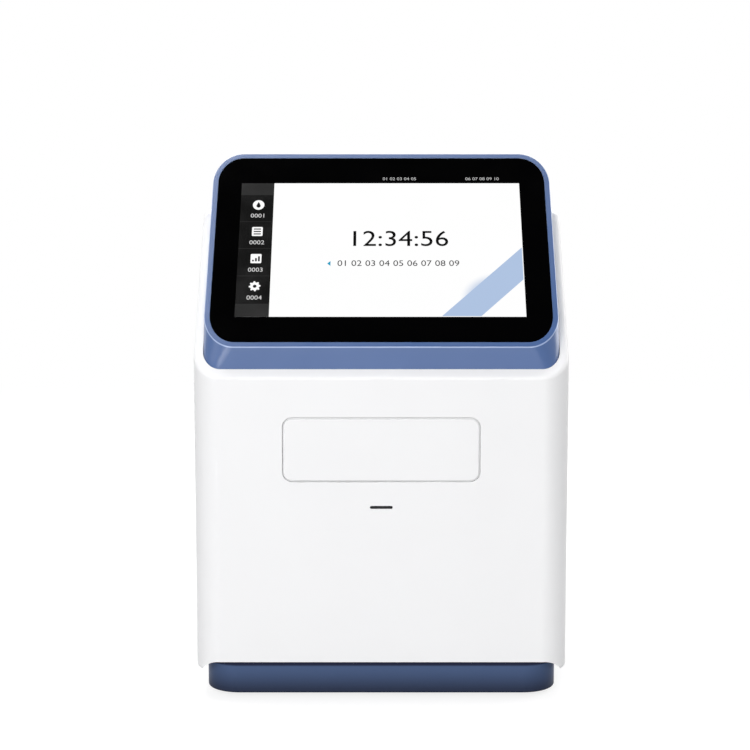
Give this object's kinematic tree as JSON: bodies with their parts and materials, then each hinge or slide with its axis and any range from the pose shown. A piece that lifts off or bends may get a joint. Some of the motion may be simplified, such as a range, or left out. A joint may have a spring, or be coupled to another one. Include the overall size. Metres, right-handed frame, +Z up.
{
  "type": "benchtop chemistry analyzer",
  "caption": "Benchtop dry chemistry analyzer: white sleeve on a blue base, slanted touch screen on top and a motor-driven front drawer with a turntable.",
  "frame": {"origin": "on the bench surface, under the centre of the sleeve", "axes": "+X right as seen from the front, +Y to the rear, +Z up; the front faces -Y"},
  "size_m": [0.218, 0.254, 0.315],
  "materials": {
    "white_shell": "fine satin moulded ABS, warm white",
    "blue_shell": "satin painted ABS, grey-blue",
    "rubber": "matt black rubber",
    "cover_glass": "gloss cover glass, printed black behind",
    "lcd": "display module",
    "sheet_steel": "zinc-plated sheet",
    "screw_steel": "nickel-plated screws",
    "circuit_board": "green solder mask",
    "post_aluminium": "machined aluminium",
    "grey_plastic": "moulded grey plastic",
    "black_plastic": "moulded black plastic",
    "gear_plastic": "natural acetal",
    "motor_steel": "plated motor can",
    "socket_metal": "bright socket shell",
    "lens_glass": "coated optical glass",
    "rocker_plastic": "gloss black rocker",
    "light_lens": "smoked light window",
    "panel_paint": "fine textured light grey paint"
  },
  "bodies": {
    "housing": {"outer_sleeve": "white_shell", "base_tub": "blue_shell", "rubber_feet": "rubber", "display_head": "blue_shell", "cover_glass": "cover_glass", "lcd_panel": "lcd", "display_bracket": "sheet_steel", "display_screws": "screw_steel", "display_board": "circuit_board", "deck_posts": "post_aluminium", "chassis_deck": "sheet_steel", "outer_rail_left": "sheet_steel", "outer_rail_right": "sheet_steel", "rail_bracket_left": "sheet_steel", "rail_bracket_right": "sheet_steel", "drive_motor": "motor_steel", "drive_bracket": "sheet_steel", "optics_bridge": "sheet_steel", "heater_plate": "post_aluminium", "optical_head": "black_plastic", "optical_lens": "lens_glass", "lamp_housing": "post_aluminium", "code_reader": "black_plastic", "rear_panel": "panel_paint", "panel_screws": "screw_steel", "fan_frame": "black_plastic", "power_inlet": "black_plastic", "switch_body": "black_plastic", "lan_socket": "socket_metal", "usb_sockets": "socket_metal", "board_standoffs": "post_aluminium", "main_board": "circuit_board", "board_heatsink": "post_aluminium", "power_supply": "sheet_steel", "speaker": "black_plastic", "light_lens": "light_lens", "light_board": "circuit_board"},
    "drawer": {"drawer_front": "white_shell", "drawer_tray": "grey_plastic", "inner_rail_left": "sheet_steel", "inner_rail_right": "sheet_steel", "drawer_rack": "gear_plastic", "turntable_motor": "motor_steel"},
    "turntable": {"turntable": "grey_plastic", "turntable_spindle": "motor_steel"},
    "drive_pinion": {"drive_pinion": "gear_plastic"},
    "power_rocker": {"switch_rocker": "rocker_plastic"},
    "fan_rotor": {"fan_rotor": "black_plastic"}
  },
  "joints": [
    {"name": "drawer_slide", "type": "slide", "parent": "housing", "child": "drawer", "axis": [0, -1, 0], "range_m": [0, 0.105]},
    {"name": "turntable_spin", "type": "hinge", "parent": "drawer", "child": "turntable", "pos_m": [0, -0.068, 0.148], "axis": [0, 0, 1], "continuous": true},
    {"name": "pinion_spin", "type": "hinge", "parent": "housing", "child": "drive_pinion", "pos_m": [-0.0368, -0.104, 0.1235], "axis": [1, 0, 0], "range_deg": [0, 670]},
    {"name": "rocker_tilt", "type": "hinge", "parent": "housing", "child": "power_rocker", "pos_m": [0.012, 0.119, 0.066], "axis": [-1, 0, 0], "range_deg": [0, 18]},
    {"name": "fan_spin", "type": "hinge", "parent": "housing", "child": "fan_rotor", "pos_m": [-0.045, 0.115, 0.2], "axis": [0, 1, 0], "continuous": true}
  ],
  "couplings": [
    {"joint": "pinion_spin", "follows": "drawer_slide", "rad_per_m": 111.11}
  ]
}
